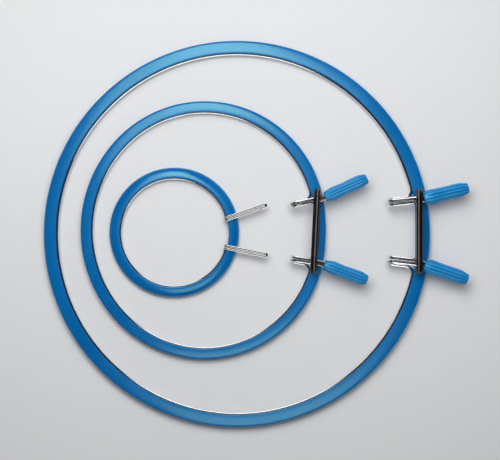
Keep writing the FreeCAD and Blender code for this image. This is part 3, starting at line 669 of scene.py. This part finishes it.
def make_spring(hoop, where, pts, centre, side, dia, sides):
    """One half of a hoop's spring, running from the back of the wire to its arm."""
    name = "%s_%s_half_wire" % (hoop, where)
    line = placed(pts, centre, side)
    ob = give(tube(name, line, dia, sides, True), NICKEL if hoop == "small" else CHROME)
    mark_doubled(ob, line, dia, {"large": 2.9, "medium": 2.15, "small": 2.0}[hoop], (10, 32) if hoop != "small" else (40, 62))
    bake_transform(ob)
    cad = ["%s_spring_%s" % (hoop, where)]
    if where == "upper":
        cad.append("%s_spring_back" % hoop)
    if hoop != "small":
        # the wire beyond the guide plate gets the chrome with painted shade and brown reflection
        ob.data.materials.append(STUB_SHADE_WIRE)
        plate = (centre[0] + {"large": 125.9, "medium": 77.05}[hoop]) * MM
        for poly in ob.data.polygons:
            if poly.center.x > plate:
                poly.material_index = 1
    WIRES.append(ob)
    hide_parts(*cad)
    return ob


GRIPS = []
for where, t in LARGE.items():
    s = t["side"]
    pts, root = big_path(L_HOOP, t, [((0, 0), L_WIRE_R, 180.0 + 0.95 * s, None)], 5.5, 30.0, 0)
    make_spring("large", where, pts, L_C, s, 2.4, 20)
    GRIPS.append(("large", where, L_C, s, root, t["grip"], L_HOOP))

for where, t in MEDIUM.items():
    s = t["side"]
    arcs = [((BACK_DX, 0.0), BACK_R - M_IN, 180.0, BACK_A), ((0.0, SIDE_DY), SIDE_R - M_IN, BACK_A, None)]
    pts, root = big_path(M_HOOP, t, arcs, 5.0, 16.0, 0)
    make_spring("medium", where, pts, M_C, s, 2.0, 18)
    GRIPS.append(("medium", where, M_C, s, root, t["grip"], M_HOOP))

for where, s, end, top, tip in (("upper", 1, 22.1, 19.3, (64.7, 19.6)), ("lower", -1, 23.5, 11.3, (65.4, 16.1))):
    pts = small_path(s, end, top, tip)
    make_spring("small", where, pts, S_C, s, 1.8, 18)


# -------------------------------------------------------------------- grips
RIBS, AROUND, GRIP_L = 12, 168, 31.9
NOSE_AT = GRIP_L - 1.6
GRIP_SHAPE = {
    "large": [(0.9, 4.5), (5.0, 5.2), (0.43 * GRIP_L, 4.85), (0.70 * GRIP_L, 4.95), (0.83 * GRIP_L, 4.75), (NOSE_AT, 3.8)],
    "medium": [(0.9, 3.65), (6.2, 4.65), (0.43 * GRIP_L, 4.25), (0.70 * GRIP_L, 4.5), (0.83 * GRIP_L, 4.45), (NOSE_AT, 3.6)],
}


def grip_radius(hoop, z):
    """Rib crest radius along the grip, before its two ends are rounded."""
    pts = GRIP_SHAPE[hoop]
    if z <= pts[0][0]:
        return pts[0][1]
    for (z0, r0), (z1, r1) in zip(pts, pts[1:]):
        if z <= z1:
            t = (z - z0) / (z1 - z0)
            t = 0.45 * t + 0.55 * t * t * (3 - 2 * t)
            return r0 + (r1 - r0) * t
    return pts[-1][1]


def grip_mesh(name, which, hoop, root, azimuth, side, centre, phase):
    """Fluted grip with a plain collar at its root, a tapered head and the pocket for the doubled wire."""
    L = GRIP_L
    rows = []                                     # (z, radius, rib depth)
    z_rows = [1.3, 1.7, 2.1, 2.5, 2.9, 3.3, 3.8] + [4.4 + 0.75 * i for i in range(40)]
    z_rows = [z for z in z_rows if z < NOSE_AT - 0.3] + [NOSE_AT]
    collar = grip_radius(which, 0.9)
    # root end: rounded over from the face
    for a in (0, 18, 36, 54, 72, 90):
        c, s = math.cos(math.radians(a)), math.sin(math.radians(a))
        rows.append((0.9 * (1 - c), collar - 0.9 + 0.9 * s, 0.0))
    for z in z_rows:
        rows.append((z, grip_radius(which, z), 0.70 * smooth_step(z, 1.6, 4.2)
                     * (1 - 0.45 * smooth_step(z, 27.0, NOSE_AT))))
    # nose: ribs run on over the rounding and die out on the end face
    nose, re = GRIP_SHAPE[which][-1][1], 1.6
    for i in range(1, 9):
        a = 90.0 * i / 8
        s, c = math.sin(math.radians(a)), math.cos(math.radians(a))
        rows.append((L - re + re * s, nose - re + re * c, 0.385 * (1 - 0.55 * smooth_step(a, 30, 90))))
    for f, d in ((0.72, 0.55), (0.45, 0.30), (0.2, 0.0)):
        rows.append((L - 0.02 + 0.02 * (1 - f), (nose - re) * f, 0.20 * d))
    theta = [2 * math.pi * j / AROUND for j in range(AROUND)]

    def rib(th):
        return abs(math.cos(RIBS / 2.0 * (th + phase))) ** 0.72   # 0 in a flute, 1 on a crest

    # pocket mouth and walls, on the same rays
    d, pitch = hoop["wire"], hoop["pitch"]
    pr, ph = d / 2 + 0.08, pitch / 2

    def pocket(th, grow):
        c, s = math.cos(th), math.sin(th)
        r = pr + grow
        # ray against a level stadium
        if abs(s) > 1e-9:
            k = r / abs(s)
            if abs(k * c) <= ph:
                return k
        k = ph * abs(c)
        return k + math.sqrt(max(0.0, k * k - (ph * ph - r * r)))

    grid = []
    for z, g in ((GRIP_POCKET, 0.0), (12.0, 0.0), (3.0, 0.0), (0.3, 0.0), (0.0, 0.22)):
        grid.append([(pocket(th, g), th, z) for th in theta])
    for z, r, dep in rows:
        grid.append([(r - dep * (1 - rib(th)), th, z) for th in theta])
    along = az(azimuth)
    left = Vector((-along.y, along.x, 0))
    base = Vector((root[0], root[1], hoop["handle_z"]))

    def at(r, th, z):
        p = base + left * (r * math.cos(th)) + UP * (r * math.sin(th)) + along * z
        return Vector((centre[0] + p.x, centre[1] + side * p.y, p.z))

    rings = [[at(*q) for q in row] for row in grid]
    u = []
    total = 0.0
    for i, row in enumerate(grid):
        if i:
            total += math.hypot(row[0][2] - grid[i - 1][0][2], row[0][0] - grid[i - 1][0][0])
        u.append(total)
    v = [RIBS * j / AROUND for j in range(AROUND + 1)]      # one rib is one unit of v
    verts, faces, uvs = loft(rings, False, u, v, caps=False)
    m = AROUND
    for base_i, (r, z), turn in ((0, (0.0, GRIP_POCKET), 1), (len(rings) - 1, (0.0, L), -1)):
        c = len(verts)
        verts.append(at(0.0, 0.0, z))
        for j in range(m):
            l = (j + 1) % m
            f = (base_i * m + j, base_i * m + l, c) if turn > 0 else (base_i * m + l, base_i * m + j, c)
            faces.append(f)
            uvs.append(((u[base_i], v[j]), (u[base_i], v[j + 1]), (u[base_i] + 0.3, v[j])))
    return closed_mesh(name, verts, faces, uvs, 75.0)


for hoop, where, centre, side, root, azimuth, dims in GRIPS:
    ob = give(grip_mesh("%s_%s_fluted_grip" % (hoop, where), hoop, dims, root, azimuth, side, centre, 0.0), GRIP)
    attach(ob, "%s_%s_arm" % (hoop, where))
    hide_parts("%s_%s_grip" % (hoop, where))


# ------------------------------------------------------------- guide plates
def guide_mesh(name, place, turn, lean, seam):
    """Oblong plate with one long slot: a rounded section swept round the racetrack."""
    half, r_in, r_out, half_t = 24.25, 1.7, 5.25, 2.2
    edge, lip = 0.9, 0.3
    sec = []                                     # (distance from the racetrack's spine, through the plate)

    def corner(cr, ct, r, a0, a1, n):
        for i in range(n + 1):
            a = math.radians(a0 + (a1 - a0) * i / n)
            sec.append((cr + r * math.cos(a), ct + r * math.sin(a)))

    corner(r_out - edge, half_t - edge, edge, 0, 90, 7)
    sec += [(r_out - edge - (r_out - edge - r_in - lip) * f, half_t) for f in (0.35, 0.7)]
    corner(r_in + lip, half_t - lip, lip, 90, 180, 4)
    corner(r_in + lip, -half_t + lip, lip, 180, 270, 4)
    sec += [(r_out - edge - (r_out - edge - r_in - lip) * f, -half_t) for f in (0.7, 0.35)]
    corner(r_out - edge, -half_t + edge, edge, 270, 360, 7)
    # the mould's parting line round the rim, off the middle of its thickness
    first = len(sec) - 1
    sec += [(r_out, seam - 0.30), (r_out + 0.045, seam - 0.23), (r_out + 0.045, seam + 0.23), (r_out, seam + 0.30)]
    stations, u, total = [], [], 0.0
    runs = [("arc", half, -90, 90), ("run", half, 90, 0), ("arc", -half, 90, 270), ("run", -half, 270, 0)]
    for kind, c, a0, a1 in runs:
        if kind == "arc":
            n = 32
            for i in range(n):
                stations.append((c, a0 + (a1 - a0) * i / n))
                u.append(total + math.radians(a1 - a0) * i / n * r_out)
            total += math.pi * r_out
        else:
            n = 24
            for i in range(n):
                stations.append((c - 2 * c * i / n, a0))
                u.append(total + 2 * half * i / n)
            total += 2 * half
    u.append(total)
    q = Quaternion(UP, math.radians(turn)) @ Quaternion(Vector((0, 1, 0)), math.radians(lean))
    rings = []
    for c, a in stations:
        n = Vector((0, math.cos(math.radians(a)), math.sin(math.radians(a))))
        rings.append([Vector(place) + q @ (Vector((t, c, 0)) + n * r) for r, t in sec])
    v = [0.0]
    for i in range(len(sec)):
        a, b = sec[i], sec[(i + 1) % len(sec)]
        v.append(v[-1] + math.hypot(b[0] - a[0], b[1] - a[1]))
    verts, faces, uvs = loft(rings, True, u, v)
    ob = closed_mesh(name, verts, faces, uvs, 60.0)
    ob.data.materials.append(BLACK)
    ob.data.materials.append(SEAM_HIGHLIGHT)
    # the parting-line faces take the second slot, a pale line painted as the rim's highlight
    m = len(sec)
    for poly in ob.data.polygons:
        if {i % m for i in poly.vertices} <= set(range(first + 1, first + 5)):
            poly.material_index = 1
    return ob


for hoop, c, off, z, turn, lean, seam in (("large", L_C, (125.9, 1.64), 14.05, 0.0, 0.0, -0.67),
                                          ("medium", M_C, (77.05, -0.65), 13.45, -2.8, -7.0, 0.50)):
    ob = guide_mesh("%s_guide_moulding" % hoop, (c[0] + off[0], c[1] + off[1], z), turn, lean, seam)
    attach(ob, "%s_guide" % hoop)
    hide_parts("%s_guide_plate" % hoop)


# ------------------------------------------------------- floor, light, camera
def floor():
    me = bpy.data.meshes.new("floor")
    s = 6.0
    me.from_pydata([(-s, -s, 0), (s, -s, 0), (s, s, 0), (-s, s, 0)], [], [(0, 1, 2, 3)])
    me.update()
    ob = bpy.data.objects.new("floor", me)
    bpy.context.scene.collection.objects.link(ob)
    ob.location.z = -0.00002
    mat, nt, p = new_material("pale_floor")
    tc = node(nt, "ShaderNodeTexCoord")
    n = noise(nt, tc.outputs["Object"], 3.0, 2.0, 0.5)
    col = ramp(nt, n, [(0.35, (0.800, 0.804, 0.808)), (0.65, (0.825, 0.828, 0.829))])
    nt.links.new(col, p.inputs["Base Color"])
    p.inputs["Roughness"].default_value = 0.65
    p.inputs["IOR"].default_value = 1.3
    me.materials.append(mat)
    return ob


floor()


BOXES = []


def soft_box(name, where, aim, size_x, size_y, power, colour=(1, 1, 1), spread=180.0):
    data = bpy.data.lights.new(name, "AREA")
    data.shape = "RECTANGLE"
    data.size, data.size_y = size_x, size_y
    data.energy = power
    data.color = colour
    data.spread = math.radians(spread)
    ob = bpy.data.objects.new(name, data)
    bpy.context.scene.collection.objects.link(ob)
    ob.location = where
    ob.rotation_mode = "QUATERNION"
    ob.rotation_quaternion = (Vector(aim) - Vector(where)).to_track_quat("-Z", "Y")
    ob.visible_camera = False
    BOXES.append(ob)
    return ob


soft_box("soft_box_far", (-0.120, 0.46, 0.80), (0.0, 0.02, 0.0), 0.46, 0.66, 2.0 * math.pi * 0.46 * 0.66)
soft_box("soft_box_far_core", (-0.065, 0.455, 0.79), (0.0, 0.02, 0.0), 0.22, 0.50, 2.0 * math.pi * 0.22 * 0.50)
soft_box("soft_box_near", (0.10, -0.44, 0.90), (0.0, 0.0, 0.0), 0.50, 0.56, 0.50 * math.pi * 0.50 * 0.56)
gleam = soft_box("soft_box_near_core", (0.05, -0.49, 0.86), (0.0, 0.0, 0.0), 0.48, 0.44, 1.20 * math.pi * 0.48 * 0.44)
gleam.visible_diffuse = False
# a broad scrim over the table that fills the shadows but doesn't show in the gloss
scrim = soft_box("scrim", (-0.02, 0.18, 0.56), (-0.02, 0.18, 0.0), 0.54, 0.36, 3.7 * math.pi * 0.54 * 0.36)
scrim.visible_glossy = False

# The bare wires mirror two low pale cards, beyond and before the table, and the dark ceiling over it;
# the boxes and the cards are linked so that each lights only what it is meant for.
def linked(name, state):
    group = bpy.data.collections.new(name)
    for ob in WIRES:
        group.objects.link(ob)
    for item in group.collection_objects:
        item.light_linking.link_state = state
    return group


unlit = linked("mirror_wires_unlit", "EXCLUDE")
for box in BOXES:
    box.light_linking.receiver_collection = unlit
lit = linked("mirror_wires_lit", "INCLUDE")
for name, turn, width, level in (("card_far", 90.0, 1.2, 2.4), ("card_near", 288.0, 1.7, 2.1)):
    d = az(turn)
    card = soft_box(name, (0.90 * d.x, 0.90 * d.y, 0.42), (0.0, 0.0, 0.01), width, 0.70, level * math.pi * width * 0.70)
    card.light_linking.receiver_collection = lit

world = bpy.data.worlds.new("studio")
bpy.context.scene.world = world
world.use_nodes = True
wn = world.node_tree
wn.nodes.clear()
w_out = wn.nodes.new("ShaderNodeOutputWorld")
w_bg = wn.nodes.new("ShaderNodeBackground")
w_tc = wn.nodes.new("ShaderNodeTexCoord")
w_xyz = wn.nodes.new("ShaderNodeSeparateXYZ")
wn.links.new(w_tc.outputs["Generated"], w_xyz.inputs["Vector"])
w_ramp = ramp(wn, w_xyz.outputs["Z"], [(0.0, (0.72, 0.73, 0.75)), (0.12, (0.50, 0.51, 0.53)),
                                       (0.45, (0.10, 0.10, 0.105)), (1.0, (0.03, 0.03, 0.032))])
w_dim = ramp(wn, w_xyz.outputs["Z"], [(0.0, (0.52, 0.53, 0.54)), (0.12, (0.32, 0.32, 0.33)), (0.28, (0.09, 0.09, 0.094)),
                                      (0.48, (0.018, 0.018, 0.019)), (1.0, (0.018, 0.018, 0.019))])
w_path = wn.nodes.new("ShaderNodeLightPath")
w_mix = mix_colour(wn, w_path.outputs["Is Glossy Ray"], w_ramp, w_dim)
wn.links.new(w_mix, w_bg.inputs["Color"])
w_bg.inputs["Strength"].default_value = 1.0
wn.links.new(w_bg.outputs["Background"], w_out.inputs["Surface"])

cam_data = bpy.data.cameras.new("camera")
cam = bpy.data.objects.new("camera", cam_data)
bpy.context.scene.collection.objects.link(cam)
bpy.context.scene.camera = cam
cam.location = (-0.004065, 0.0028, 1.1)
cam.rotation_mode = "QUATERNION"
cam.rotation_quaternion = Vector((0, 0, -1)).to_track_quat("-Z", "Y")
cam_data.sensor_width = 36.0
cam_data.lens = 36.0 * 1.1 / 0.350
cam_data.clip_start, cam_data.clip_end = 0.05, 60.0

scene = bpy.context.scene
scene.view_settings.view_transform = "Standard"
scene.view_settings.look = "None"
scene.view_settings.exposure = 0.0
scene.view_settings.gamma = 1.0
